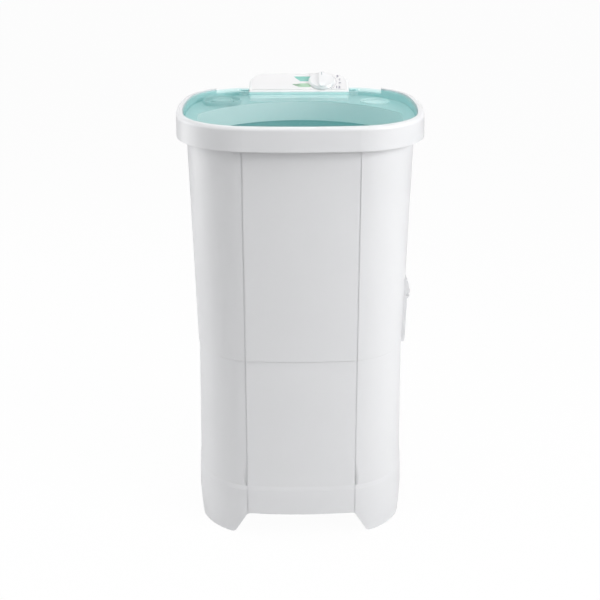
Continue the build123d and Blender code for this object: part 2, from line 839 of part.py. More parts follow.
def make_lid():
    skirt_wall = lid_skirt_wall
    lid = prism(lid_inset, lid_skirt_bottom_z, lid_top_z)
    lid = fillet(lid.edges().group_by(Axis.Z)[-1], lid_edge_radius)
    under = lid_top_z - lid_thickness
    hollow = prism(lid_inset + skirt_wall, lid_skirt_bottom_z - 1, under)
    lip = block(-notch_half - skirt_wall, notch_half + skirt_wall, notch_y - skirt_wall, rim_depth,
                under - notch_lip_height, lid_top_z + 5)
    hollow = hollow - lip
    lid = lid - hollow
    notch = block(-notch_half, notch_half, notch_y, rim_depth, 0, lid_top_z + 5)
    lid = lid - notch
    back = block(-rim_width, rim_width, hinge_y + barrel_radius, rim_depth, 0, lid_top_z + 5)
    lid = lid - back
    for sign in (-1, 1):
        x = sign * (notch_half + barrel_length / 2)
        lower = block(min(sign * notch_half, sign * (notch_half + barrel_length)),
                      max(sign * notch_half, sign * (notch_half + barrel_length)),
                      hinge_y - barrel_radius, rim_depth, 0, hinge_z)
        lid = lid - lower
        barrel = Pos(x, hinge_y, hinge_z) * Rot(0, 90, 0) * Cylinder(barrel_radius, barrel_length)
        lid = lid + barrel
        corner = block(x - barrel_length / 2 - 0.01, x + barrel_length / 2 + 0.01,
                       hinge_y, rim_depth, hinge_z, lid_top_z + 5)
        lid = lid - (corner - barrel)
        bore = Pos(x, hinge_y, hinge_z) * Rot(0, 90, 0) * Cylinder(
            pin_radius + running_gap, 2 * barrel_length - 2 * pin_end_gap)
        lid = lid - (bore & block(-rim_width, rim_width, 0, rim_depth, 0, lid_top_z))
    return lid


def make_hinge_pins():
    pins = []
    length = pin_engagement + barrel_length - 2 * pin_end_gap - 1
    for sign in (-1, 1):
        inner = housing_half_width - pin_engagement + pin_end_gap
        x = sign * (inner + length / 2)
        pins.append(Pos(x, hinge_y, hinge_z) * Rot(0, 90, 0) * Cylinder(pin_radius, length))
    return Compound(children=pins)


# Drive under the wash well

def make_bearing_housing():
    top = tub_underside_z
    r = bearing_tube_radius
    housing = turned([
        (0, bearing_bottom_z), (r, bearing_bottom_z), (r, top - 24), (r + 10, top - 8),
        (bearing_flange_radius, top - 8), (bearing_flange_radius, top), (0, top),
    ], 0, tub_y)
    bore = turned([
        (0, bearing_bottom_z - 1), (bush_radius, bearing_bottom_z - 1),
        (bush_radius, bearing_bottom_z + bush_length), (shaft_radius + 2, bearing_bottom_z + bush_length),
        (shaft_radius + 2, top - bush_length), (bush_radius, top - bush_length), (bush_radius, top + 1),
        (0, top + 1),
    ], 0, tub_y)
    housing = housing - bore
    for index in range(4):
        angle = radians(45 + 90 * index)
        x = (bearing_flange_radius - bearing_bolt_margin) * cos(angle)
        y = tub_y + (bearing_flange_radius - bearing_bolt_margin) * sin(angle)
        housing = housing - disc(bearing_bolt_radius, 0, tub_floor_z, x, y)
    return housing


def make_shaft_bushes():
    top = tub_underside_z
    low = ring(bush_radius, shaft_radius + running_gap, bearing_bottom_z,
               bearing_bottom_z + bush_length, 0, tub_y)
    high = ring(bush_radius, shaft_radius + running_gap, top - bush_length, top, 0, tub_y)
    return Compound(children=[low, high])


def make_shaft_seal():
    lip = shaft_radius + seal_squeeze
    return turned([
        (lip, tub_underside_z), (seal_radius, tub_underside_z), (seal_radius, tub_floor_z),
        (shaft_radius + 3.0, tub_floor_z), (lip, tub_floor_z - 2.0),
    ], 0, tub_y)


def make_agitator_shaft():
    shaft = disc(shaft_radius, shaft_bottom_z, shaft_top_z, 0, tub_y)
    return shaft - disc(2.5, shaft_top_z - 14, shaft_top_z + 1, 0, tub_y)


def make_wash_plate():
    r = plate_radius
    edge = plate_edge_z
    rise = plate_edge_height
    hub = plate_hub_radius
    top = plate_hub_z
    dome = turned([
        (0, edge + 2), (hub - 8, edge + 2), (hub - 8, edge + rise + 8), (r - 10, edge + rise - plate_wall),
        (r - plate_wall, edge), (r, edge), (r, edge + rise - 3), (r - 3, edge + rise),
        (r * 0.6, edge + rise + 8), (hub + 6, edge + rise + 18), (hub, top - 10), (hub - 3, top - 4), (0, top - 4),
    ], 0, tub_y)
    envelope = turned([
        (hub - 4, edge + 6), (r - 4, edge + 6), (r - 4, edge + rise + 5), (r - 14, edge + rise + 12),
        (hub + 14, top - 6), (hub - 4, top - 5),
    ], 0, tub_y)
    vane_ring = ring(vane_bow_radius + vane_thickness / 2, vane_bow_radius - vane_thickness / 2,
                     edge + 5, top, 0, 0)
    plate = dome
    for index in range(vane_count):
        turn = 360.0 / vane_count * index
        bow_x = vane_bow_radius * cos(radians(vane_lean)) - 8
        bow_y = vane_bow_radius * sin(radians(vane_lean)) + 6
        place = Pos(0, tub_y, 0) * Rot(0, 0, turn) * Pos(bow_x, bow_y, 0)
        half = block(-vane_bow_radius * 2, vane_bow_radius * 2, -vane_bow_radius * 2, 0, 0, 2 * top)
        vane = place * (vane_ring & half)
        plate = plate + (vane & envelope)
    plate = plate - disc(shaft_radius + running_gap, 0, shaft_top_z + running_gap, 0, tub_y)
    plate = plate - disc(3.2, 0, top, 0, tub_y)
    plate = plate - disc(8.0, shaft_top_z + 4, top, 0, tub_y)
    return plate


def make_plate_screw():
    head = disc(6.0, shaft_top_z + 4.0, shaft_top_z + 8.0, 0, tub_y)
    return head + disc(2.45, shaft_top_z - 12, shaft_top_z + 5, 0, tub_y)


def make_plate_cap():
    top = plate_hub_z - 4
    r = plate_hub_radius - 6
    cap = turned([(0, top), (r, top), (r, top + 2.0), (8, top + 4.0), (0, top + 4.4)], 0, tub_y)
    plug = ring(cap_plug_radius, cap_plug_radius - 1.6, top - 3.5, top + 0.5, 0, tub_y)
    return cap + plug


def pulley(pitch, hub_radius, bore, y, hub_low, hub_high):
    """A V-belt pulley about a vertical shaft, with its groove at the belt's height."""
    outer = pitch + pulley_lip
    half = pulley_half_height
    slope = (belt_outer_half - belt_inner_half) / belt_thickness
    bottom = pitch - belt_thickness / 2 - 1.0
    bottom_half = belt_inner_half - slope + belt_gap
    top_half = bottom_half + slope * (outer - bottom)
    wheel = disc(outer, belt_z - half, belt_z + half, 0, y)
    groove = turned([
        (bottom, belt_z - bottom_half), (outer + 1, belt_z - top_half - slope),
        (outer + 1, belt_z + top_half + slope), (bottom, belt_z + bottom_half),
    ], 0, y)
    wheel = wheel - groove
    if pitch > 3 * hub_radius:
        web = pulley_web_half
        for low, high in ((belt_z + web, belt_z + half + 1), (belt_z - half - 1, belt_z - web)):
            wheel = wheel - ring(bottom - 6, hub_radius, low, high, 0, y)
        for index in range(pulley_hole_count):
            angle = radians(360 / pulley_hole_count * index)
            reach = (bottom - 6 + hub_radius) / 2
            x = reach * cos(angle)
            wheel = wheel - disc(pulley_hole_radius, belt_z - half, belt_z + half, x, y + reach * sin(angle))
    wheel = wheel + disc(hub_radius, hub_low, hub_high, 0, y)
    return wheel - disc(bore + running_gap, hub_low - 1, hub_high + 1, 0, y)


def make_drive_belt():
    lean = asin((large_pitch_radius - small_pitch_radius) / pulley_spacing)

    def loop(offset, half):
        big = large_pitch_radius + offset
        small = small_pitch_radius + offset
        a = (big * cos(lean), tub_y + big * sin(lean))
        b = (small * cos(lean), motor_y + small * sin(lean))
        edges = [
            Edge.make_line((a[0], a[1], 0), (b[0], b[1], 0)),
            Edge.make_three_point_arc((b[0], b[1], 0), (0, motor_y + small, 0), (-b[0], b[1], 0)),
            Edge.make_line((-b[0], b[1], 0), (-a[0], a[1], 0)),
            Edge.make_three_point_arc((-a[0], a[1], 0), (0, tub_y - big, 0), (a[0], a[1], 0)),
        ]
        return Wire(edges).moved(Location((0, 0, half)))

    back = belt_thickness / 2
    low = belt_z - belt_outer_half
    high = belt_z + belt_outer_half
    outer = Solid.extrude(Face(loop(back, low)), Vector(0, 0, high - low))
    inner = Solid.extrude(Face(loop(-back, low)), Vector(0, 0, high - low))
    top_cut = Solid.make_loft([loop(-back, belt_z + belt_inner_half), loop(back, high)], ruled=True)
    bottom_cut = Solid.make_loft([loop(back, low), loop(-back, belt_z - belt_inner_half)], ruled=True)
    return outer - inner - top_cut - bottom_cut


def make_drive_platform():
    z0 = platform_z
    z1 = platform_top_z
    half = platform_half_width
    plate = block(-half, half, platform_front_y, platform_rear_y, z0, z1)
    plate = fillet(plate.edges().filter_by(Axis.Z), platform_corner_radius)
    for sign in (-1, 1):
        x0 = sign * half
        x1 = sign * (half - 2.0)
        flange = block(min(x0, x1), max(x0, x1), platform_front_y + platform_corner_radius + 2,
                       platform_rear_y - platform_corner_radius - 2,
                       z0, z0 + platform_flange)
        plate = plate + flange
    plate = plate - disc(bearing_tube_radius + slip_gap, z0 - 1, z1 + 1, 0, tub_y)
    plate = plate - disc(16.0, z0 - 1, z1 + 1, 0, motor_y)
    for x, y in post_places():
        plate = plate - disc(post_screw_radius + screw_gap, z0 - 1, z1 + 1, x, y)
    slot_shape = SlotCenterToCenter(8.0, 2 * motor_bolt_radius + 1.4, rotation=90)
    for x, y in motor_bolt_places():
        slot = Pos(x, y, (z0 + z1) / 2) * extrude(slot_shape, platform_thickness, both=True)
        plate = plate - slot
    return plate


def post_places():
    return [(sign * post_x, y) for sign in (-1, 1) for y in (post_front_y, post_rear_y)]


def motor_bolt_places():
    reach = motor_radius - motor_bolt_margin
    return [(sx * reach * cos(radians(45)), motor_y + sy * reach * sin(radians(45)))
            for sx in (-1, 1) for sy in (-1, 1)]


def make_platform_posts():
    places = post_places()
    posts = [ring(post_radius, post_bore_radius, platform_top_z, tub_underside_z, x, y) for x, y in places]
    return Compound(children=posts)


def make_post_screws():
    screws = []
    for x, y in post_places():
        head = disc(screw_head_radius, platform_z - screw_head_height, platform_z, x, y)
        screws.append(head + disc(post_screw_radius, platform_z - 1, platform_top_z + post_screw_grip, x, y))
    return Compound(children=screws)


def make_motor_body():
    z0 = platform_top_z
    z1 = z0 + motor_height
    r = motor_radius
    body = turned([
        (0, z0), (r - 4, z0), (r, z0 + 4), (r, z0 + 34), (r - 3, z0 + 36), (r - 3, z1 - 36),
        (r, z1 - 34), (r, z1 - 10), (r - 10, z1), (0, z1),
    ], 0, motor_y)
    vent = block(r - 6, r + 4, -5, 5, z1 - 16 - motor_vent_height, z1 - 16)
    for index in range(motor_vent_count):
        body = body - Pos(0, motor_y, 0) * Rot(0, 0, 360 / motor_vent_count * index) * vent
    body = body - disc(motor_shaft_radius + running_gap, z0 - 1, z0 + motor_shaft_grip + 2, 0, motor_y)
    body = body - disc(14, z0 - 1, z0 + 3, 0, motor_y)
    for x, y in motor_bolt_places():
        body = body - disc(motor_bolt_radius + running_gap, z0 - 1, z0 + motor_bolt_grip + 2, x, y)
    return body


def make_motor_bolts():
    bolts = []
    for x, y in motor_bolt_places():
        head = disc(screw_head_radius, platform_z - screw_head_height, platform_z, x, y)
        bolts.append(head + disc(motor_bolt_radius, platform_z - 1, platform_top_z + motor_bolt_grip, x, y))
    return Compound(children=bolts)


def make_motor_shaft():
    low = belt_z - hub_half_height - 1
    return disc(motor_shaft_radius, low, platform_top_z + motor_shaft_grip, 0, motor_y)


def make_large_pulley():
    low = belt_z - hub_half_height
    high = belt_z + hub_half_height
    return pulley(large_pitch_radius, large_hub_radius, shaft_radius, tub_y, low, high)


def make_motor_pulley():
    low = belt_z - hub_half_height
    high = belt_z + pulley_half_height
    return pulley(small_pitch_radius, small_hub_radius, motor_shaft_radius, motor_y, low, high)


def make_capacitor():
    top = platform_top_z + capacitor_height
    can = disc(capacitor_radius, platform_top_z, top, capacitor_x, capacitor_y)
    can = fillet(can.edges().group_by(Axis.Z)[-1], 2.5)
    for sign in (-1, 1):
        x = capacitor_x + sign * 6
        can = can + block(x - 0.5, x + 0.5, capacitor_y - 3, capacitor_y + 3, top - 1, top + 9)
    return can


def make_capacitor_strap():
    inner = capacitor_radius + running_gap
    low = platform_top_z + strap_low
    high = low + strap_width
    band = ring(capacitor_radius + strap_thickness, inner, low, high, capacitor_x, capacitor_y)
    side = capacitor_x - capacitor_radius
    foot = block(side - 7, side - 0.4, capacitor_y - 6, capacitor_y + 6, platform_top_z, high)
    foot = foot - disc(inner, platform_top_z - 1, high + 1, capacitor_x, capacitor_y)
    return band + foot


# Drain from the well's floor to the back of the base

def make_drain_fitting():
    top = tub_underside_z
    flange = drain_pipe_radius + 8
    neck = drain_hole_radius - running_gap
    bore = drain_hole_radius - 2.2
    tail = drain_pipe_radius - drain_pipe_wall - running_gap
    return turned([
        (bore, top - 34), (tail, top - 34), (tail, top - 14), (flange, top - 5), (flange, top),
        (neck, top), (neck, tub_floor_z - 0.5), (bore, tub_floor_z - 0.5),
    ], drain_x, tub_y)


def drain_path():
    start_z = tub_underside_z - 16.0
    return FilletPolyline(
        (drain_x, tub_y, start_z), (drain_x, tub_y, drain_outlet_z), (drain_x, pipe_end_y, drain_outlet_z),
        radius=drain_bend_radius,
    )


def make_drain_pipe():
    path = drain_path()
    section = Plane(path @ 0, z_dir=path % 0) * Circle(drain_pipe_radius)
    hole = Plane(path @ 0, z_dir=path % 0) * Circle(drain_pipe_radius - drain_pipe_wall)
    return sweep(section, path) - sweep(hole, path)


outlet_face_y = boss_face_y(drain_x, drain_outlet_z, drain_spigot_radius)
pipe_end_y = outlet_face_y - 26.0


def make_drain_outlet():
    """A spigot for a hose, with shallow grooves near its tip that grip the rubber."""
    r = drain_spigot_radius
    bore = drain_pipe_radius - drain_pipe_wall - 3.0
    tail = drain_pipe_radius - drain_pipe_wall - running_gap
    shoulder = pipe_end_y - outlet_face_y + seat_gap
    collar = r + drain_collar_width
    tip = drain_spigot_length
    body = turned([
        (bore, shoulder - drain_tail), (tail, shoulder - drain_tail), (tail, shoulder), (r, shoulder + 1),
        (r, 0), (collar, 0), (collar, drain_collar_height), (r, drain_collar_height),
        (r, tip), (bore, tip),
    ])
    for index in range(barb_count):
        low = tip - barb_pitch * (index + 1)
        body = body - turned([
            (r - barb_depth, low), (r + 1, low), (r + 1, low + barb_pitch * 0.6), (r - barb_depth, low + 0.6),
        ])
    return Pos(drain_x, outlet_face_y, drain_outlet_z) * Rot(-90, 0, 0) * body


# Lint filter on two pegs in the well's rear wall

def tub_rear_y(z, x):
    """How far back the tub's inner wall reaches."""
    narrowing = tub_taper * (tub_top_z - z) / (tub_top_z - tub_floor_z)
    radius = mouth_rear_radius + collar_wall + collar_gap - narrowing
    return mouth_rear_y - mouth_rear_radius + sqrt(radius**2 - x**2)


filter_top_z = filter_bottom_z + filter_height
peg_z = filter_top_z - peg_drop
filter_back_y = tub_rear_y(filter_bottom_z, filter_half_width) - 1.0
filter_front_y = filter_back_y - filter_depth


def filter_peg(sign):
    x = sign * peg_spacing
    wall_y = tub_rear_y(peg_z, x) + 1.0
    tip_y = filter_back_y - filter_wall - 3.5
    peg = block(x - peg_half_width, x + peg_half_width, tip_y, wall_y, peg_z, peg_z + peg_height)
    tip = block(x - peg_half_width, x + peg_half_width, tip_y, tip_y + peg_tip_thickness,
                peg_z, peg_z + peg_height + peg_tip_height)
    return peg + tip


def make_lint_filter():
    w = filter_half_width
    z0 = filter_bottom_z
    z1 = filter_top_z
    case = block(-w, w, filter_front_y, filter_back_y, z0, z1)
    case = fillet(case.edges().filter_by(Axis.Z), 4.0)
    hollow = block(-w + filter_wall, w - filter_wall, filter_front_y + filter_wall, filter_back_y - filter_wall,
                   z0 + filter_wall, z1 + 1)
    case = case - hollow
    for index in range(filter_slot_count):
        x = (index - (filter_slot_count - 1) / 2) * filter_slot_pitch
        case = case - block(x - filter_slot_width / 2, x + filter_slot_width / 2, filter_front_y - 1,
                            filter_front_y + filter_wall + 1, z0 + 10, z1 - 34)
    for sign in (-1, 1):
        x = sign * peg_spacing
        half = peg_half_width + peg_side_gap
        case = case - block(
            x - half, x + half, filter_back_y - filter_wall - 1, filter_back_y + 1,
            peg_z - filter_lift - 2, peg_z + peg_height + seat_gap,
        )
    return case


# Rear cover, gland and the keeper on the right side

def cover_shell(inner_inset, outer_inset):
    low = (base_taper_inset, band_top_z)
    high = (shoulder_inset, seam_z)
    outer = tapered((low[0] + outer_inset, low[1]), (high[0] + outer_inset, high[1]))
    inner = tapered((low[0] + inner_inset, low[1]), (high[0] + inner_inset, high[1]))
    return outer - inner


def make_rear_cover():
    z0 = cover_bottom_z
    cover = cover_shell(-seat_gap, -seat_gap - cover_thickness)
    cover = cover & block(-cover_half_width, cover_half_width, 0, rim_depth, z0, cover_top_z)
    for index in range(vent_count):
        z = z0 + vent_rise + vent_pitch * index
        cover = cover - block(-vent_half_width, vent_half_width, 0, rim_depth, z, z + vent_height)
    for x, z in cover_screw_places():
        cover = cover - rear_frame(x, z) * Cylinder(cover_screw_radius + running_gap, 8 * shell_wall)
    return cover


def cover_screw_places():
    x = cover_half_width - cover_lap / 2
    low = cover_bottom_z + cover_lap / 2
    high = cover_top_z - cover_lap / 2
    return [(sx * x, z) for sx in (-1, 1) for z in (low, (low + high) / 2, high)]


def make_cover_screws():
    screws = []
    for x, z in cover_screw_places():
        frame = rear_frame(x, z, seat_gap + cover_thickness + 0.15)
        head = frame * Pos(0, 0, 0.9) * Cylinder(cover_screw_head, 1.8)
        stem = frame * Pos(0, 0, 0.1 - cover_screw_grip / 2) * Cylinder(cover_screw_radius, cover_screw_grip)
        screws.append(head + stem)
    return Compound(children=screws)


def make_cord_gland():
    """A strain relief with a bore, snapped into its boss."""
    r = gland_radius
    bore = gland_bore
    tail = -gland_inner_length
    nose = gland_outer_length
    gland = turned([
        (bore, tail), (r - 1, tail), (r, tail + 1), (r, 0), (r + 4, 0), (r + 4, 2.6), (r - 1, nose), (bore, nose),
    ])
    face_y = boss_face_y(gland_x, gland_z, r)
    return Pos(gland_x, face_y, gland_z) * Rot(-90, 0, 0) * gland


def make_side_keeper():
    """A moulded strip with a hooked nose for tucking a lead behind."""
    x_low = side_x(cabinet_inset(keeper_bottom_z), keeper_y)
    x_high = side_x(cabinet_inset(keeper_top_z), keeper_y)
    lean = (x_high - x_low) / (keeper_top_z - keeper_bottom_z)

    def at(proud, z):
        return (x_low + lean * (z - keeper_bottom_z) + proud, z)

    slot_top = keeper_slot_z + keeper_slot_height
    points = [
        at(-4, keeper_bottom_z), at(keeper_proud - 2, keeper_bottom_z), at(keeper_proud, keeper_bottom_z + 8),
        at(keeper_proud, keeper_slot_z - 6), at(keeper_nose - 1.5, keeper_slot_z - 2),
        at(keeper_nose, keeper_slot_z), at(2.2, keeper_slot_z), at(2.2, slot_top), at(keeper_nose, slot_top),
        at(keeper_nose, slot_top + 6), at(keeper_nose - 3, keeper_top_z - 12), at(1.5, keeper_top_z),
        at(-4, keeper_top_z),
    ]
    face = make_face(Plane.XZ * Polyline(*points, close=True))
    strip = Pos(0, keeper_y + keeper_half_width, 0) * extrude(face, 2 * keeper_half_width, dir=(0, -1, 0))
    low = keeper_bottom_z - 1
    high = keeper_top_z + 1
    body = tapered((cabinet_inset(low), low), (cabinet_inset(high), high))
    return strip - body


builders = {
    "upper_cabinet": make_upper_cabinet,
    "lower_cabinet": make_lower_cabinet,
    "base_frame": make_base_frame,
    "foot_pads": make_foot_pads,
    "rim_frame": make_rim_frame,
    "top_deck": make_top_deck,
    "wash_tub": make_wash_tub,
    "softener_cup": make_softener_cup,
    "softener_cap": make_softener_cap,
    "soap_dish": make_soap_dish,
    "control_housing": make_control_housing,
    "control_fascia": make_control_fascia,
    "timer_body": make_timer_body,
    "timer_shaft": make_timer_shaft,
    "timer_knob": make_timer_knob,
    "lid": make_lid,
    "hinge_pins": make_hinge_pins,
    "bearing_housing": make_bearing_housing,
    "shaft_bushes": make_shaft_bushes,
    "shaft_seal": make_shaft_seal,
    "agitator_shaft": make_agitator_shaft,
    "wash_plate": make_wash_plate,
    "plate_screw": make_plate_screw,
    "plate_cap": make_plate_cap,
    "large_pulley": make_large_pulley,
    "motor_pulley": make_motor_pulley,
    "drive_belt": make_drive_belt,
    "drive_platform": make_drive_platform,
    "platform_posts": make_platform_posts,
    "post_screws": make_post_screws,
    "motor_body": make_motor_body,
    "motor_bolts": make_motor_bolts,
    "motor_shaft": make_motor_shaft,
    "capacitor": make_capacitor,
    "capacitor_strap": make_capacitor_strap,
    "drain_fitting": make_drain_fitting,
    "drain_pipe": make_drain_pipe,
    "drain_outlet": make_drain_outlet,
    "lint_filter": make_lint_filter,
    "rear_cover": make_rear_cover,
    "cover_screws": make_cover_screws,
    "cord_gland": make_cord_gland,
    "side_keeper": make_side_keeper,
}

for name, builder in builders.items():
    save(name, builder())
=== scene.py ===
import bpy
import bmesh
import math
from mathutils import Matrix, Vector


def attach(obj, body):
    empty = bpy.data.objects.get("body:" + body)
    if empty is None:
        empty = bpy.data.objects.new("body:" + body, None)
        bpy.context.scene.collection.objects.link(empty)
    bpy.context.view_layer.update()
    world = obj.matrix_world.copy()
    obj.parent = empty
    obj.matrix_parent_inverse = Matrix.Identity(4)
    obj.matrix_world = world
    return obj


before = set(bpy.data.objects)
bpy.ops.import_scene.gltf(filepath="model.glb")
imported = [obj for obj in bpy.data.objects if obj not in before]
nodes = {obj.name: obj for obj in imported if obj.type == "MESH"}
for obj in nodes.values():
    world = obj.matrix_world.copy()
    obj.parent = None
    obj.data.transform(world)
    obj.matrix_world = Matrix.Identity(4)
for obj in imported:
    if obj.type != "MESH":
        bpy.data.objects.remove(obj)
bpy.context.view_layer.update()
mm = 0.001
print("frame loaded,", len(nodes), "nodes")

# the photograph's view
cameraView = {
    "place": (-0.02586, -2.00183, 1.2923),
    "tilt": 67.72,
    "turn": -0.74,
    "lens": 59.05,
    "sensor": 36.0,
    "near": 0.05,
    "far": 200.0,
}


def makeCamera(view):
    lens = bpy.data.cameras.new("photoCamera")
    lens.lens = view["lens"]
    lens.sensor_width = view["sensor"]
    lens.clip_start = view["near"]
    lens.clip_end = view["far"]
    camera = bpy.data.objects.new("photoCamera", lens)
    camera.location = view["place"]
    camera.rotation_euler = (math.radians(view["tilt"]), 0.0, math.radians(view["turn"]))
    bpy.context.collection.objects.link(camera)
    bpy.context.scene.camera = camera


makeCamera(cameraView)
print("camera placed")


# small builders for shader nodes; every pattern sits on Object coordinates
def startFinish(name, look):
    finish = bpy.data.materials.new(name)
    finish.use_nodes = True
    tree = finish.node_tree
    shader = tree.nodes["Principled BSDF"]
    shader.inputs["Metallic"].default_value = look.get("metallic", 0.0)
    shader.inputs["IOR"].default_value = look.get("ior", 1.49)
    shader.inputs["Specular IOR Level"].default_value = look.get("specular", 0.5)
    shader.inputs["Alpha"].default_value = look.get("alpha", 1.0)
    shader.inputs["Coat Weight"].default_value = look.get("coat", 0.0)
    shader.inputs["Coat Roughness"].default_value = look.get("coatRoughness", 0.1)
    place = tree.nodes.new("ShaderNodeTexCoord").outputs["Object"]
    return finish, tree, shader, place


def stretched(tree, place, scale):
    node = tree.nodes.new("ShaderNodeMapping")
    node.inputs["Scale"].default_value = scale
    tree.links.new(place, node.inputs["Vector"])
    return node.outputs["Vector"]


def noise(tree, place, scale, detail=3.0, soft=0.5):
    node = tree.nodes.new("ShaderNodeTexNoise")
    node.inputs["Scale"].default_value = scale
    node.inputs["Detail"].default_value = detail
    node.inputs["Roughness"].default_value = soft
    tree.links.new(place, node.inputs["Vector"])
    return node.outputs["Fac"]


def cells(tree, place, scale):
    node = tree.nodes.new("ShaderNodeTexVoronoi")
    node.inputs["Scale"].default_value = scale
    tree.links.new(place, node.inputs["Vector"])
    return node.outputs["Color"]


# a noise lies mostly between 0.3 and 0.7, so that is the usual span
def ranged(tree, value, low, high, start=0.3, end=0.7):
    node = tree.nodes.new("ShaderNodeMapRange")
    node.inputs["From Min"].default_value = start
    node.inputs["From Max"].default_value = end
    node.inputs["To Min"].default_value = low
    node.inputs["To Max"].default_value = high
    tree.links.new(value, node.inputs["Value"])
    return node.outputs["Result"]


# where a Mix node keeps its colour sockets
mixFactor = 0
mixFirst = 6
mixSecond = 7
mixResult = 2


def blended(tree, factor, first, second):
    node = tree.nodes.new("ShaderNodeMix")
    node.data_type = "RGBA"
    tree.links.new(factor, node.inputs[mixFactor])
    for socket, colour in ((node.inputs[mixFirst], first), (node.inputs[mixSecond], second)):
        if isinstance(colour, tuple):
            socket.default_value = (*colour, 1.0)
        else:
            tree.links.new(colour, socket)
    return node.outputs[mixResult]


def bumped(tree, height, depth, under=None):
    node = tree.nodes.new("ShaderNodeBump")
    node.inputs["Distance"].default_value = depth
    tree.links.new(height, node.inputs["Height"])
    if under is not None:
        tree.links.new(under, node.inputs["Normal"])
    return node.outputs["Normal"]


def computed(tree, operation, first, second=None):
    node = tree.nodes.new("ShaderNodeMath")
    node.operation = operation
    for socket, value in zip(node.inputs, (first, second)):
        if isinstance(value, float):
            socket.default_value = value
        elif value is not None:
            tree.links.new(value, socket)
    return node.outputs[0]


def axesOf(tree, place):
    node = tree.nodes.new("ShaderNodeSeparateXYZ")
    tree.links.new(place, node.inputs[0])
    return node.outputs


# 1 above a level, 0 below it, with a rise of 0.4 mm between
levelRise = 0.4 * mm


def aboveLevel(tree, place, level):
    return ranged(tree, axesOf(tree, place)["Z"], 0.0, 1.0, level, level + levelRise)


def insideBox(tree, place, low, high):
    axes = axesOf(tree, place)
    mask = 1.0
    for axis in range(3):
        middle = (low[axis] + high[axis]) / 2
        reach = (high[axis] - low[axis]) / 2
        away = computed(tree, "ABSOLUTE", computed(tree, "SUBTRACT", axes[axis], middle))
        mask = computed(tree, "MULTIPLY", computed(tree, "LESS_THAN", away, reach), mask)
    return mask


def mouldedPlastic(name, look):
    finish, tree, shader, place = startFinish(name, look)
    cloud = ranged(tree, noise(tree, place, look["cloudScale"], look["cloudDetail"]), 0.0, 1.0)
    colour = blended(tree, cloud, look["colour"], look["cloud"])
    dots = noise(tree, place, look["grainScale"] * look["speckPerGrain"], look["speckDetail"])
    speck = ranged(tree, dots, 0.0, look["speck"], *look["speckSpan"])
    colour = blended(tree, speck, colour, look["speckColour"])
    # painted shade: above a given level the surface takes the plate colour, a grey that stands
    # for shade
    if "plate" in look:
        colour = blended(tree, aboveLevel(tree, place, look["plateShadeFrom"]), colour, look["plate"])
    # painted shade: inside the bay box the floor takes a grey that stands for shade
    if "bayPaintedShade" in look:
        colour = blended(tree, insideBox(tree, place, *look["bayShadeBox"]), colour, look["bayPaintedShade"])
    tree.links.new(colour, shader.inputs["Base Color"])
    polishScale = look["cloudScale"] * look["polishPerCloud"]
    polish = noise(tree, place, polishScale, look["polishDetail"], look["polishSoft"])
    tree.links.new(ranged(tree, polish, *look["roughness"]), shader.inputs["Roughness"])
    wave = noise(tree, place, look["waveScale"], look["waveDetail"])
    grain = noise(tree, place, look["grainScale"], look["grainDetail"], look["grainSoft"])
    underGrain = bumped(tree, wave, look["waveDepth"])
    tree.links.new(bumped(tree, grain, look["grainDepth"], underGrain), shader.inputs["Normal"])
    return finish


def metalSheet(name, look):
    finish, tree, shader, place = startFinish(name, look)
    patches = cells(tree, place, look["spangleScale"])
    spangle = noise(tree, patches, look["patchScale"], look["patchDetail"])
    colour = blended(tree, ranged(tree, spangle, 0.0, 1.0), look["colour"], look["cloud"])
    tree.links.new(colour, shader.inputs["Base Color"])
    stain = noise(tree, place, look["stainScale"], look["stainDetail"], look["stainSoft"])
    tree.links.new(ranged(tree, stain, *look["roughness"]), shader.inputs["Roughness"])
    marks = noise(tree, stretched(tree, place, look["markStretch"]), look["markScale"])
    tree.links.new(bumped(tree, marks, look["markDepth"]), shader.inputs["Normal"])
    return finish


def rubber(name, look):
    finish, tree, shader, place = startFinish(name, look)
    powder = noise(tree, place, look["dustScale"], look["dustDetail"], look["dustSoft"])
    dust = ranged(tree, powder, 0.0, 1.0, *look["dustSpan"])
    colour = blended(tree, dust, look["colour"], look["dust"])
    tree.links.new(colour, shader.inputs["Base Color"])
    tree.links.new(ranged(tree, dust, *look["roughness"], 0.0, 1.0), shader.inputs["Roughness"])
    grain = noise(tree, place, look["grainScale"])
    tree.links.new(bumped(tree, grain, look["grainDepth"]), shader.inputs["Normal"])
    return finish


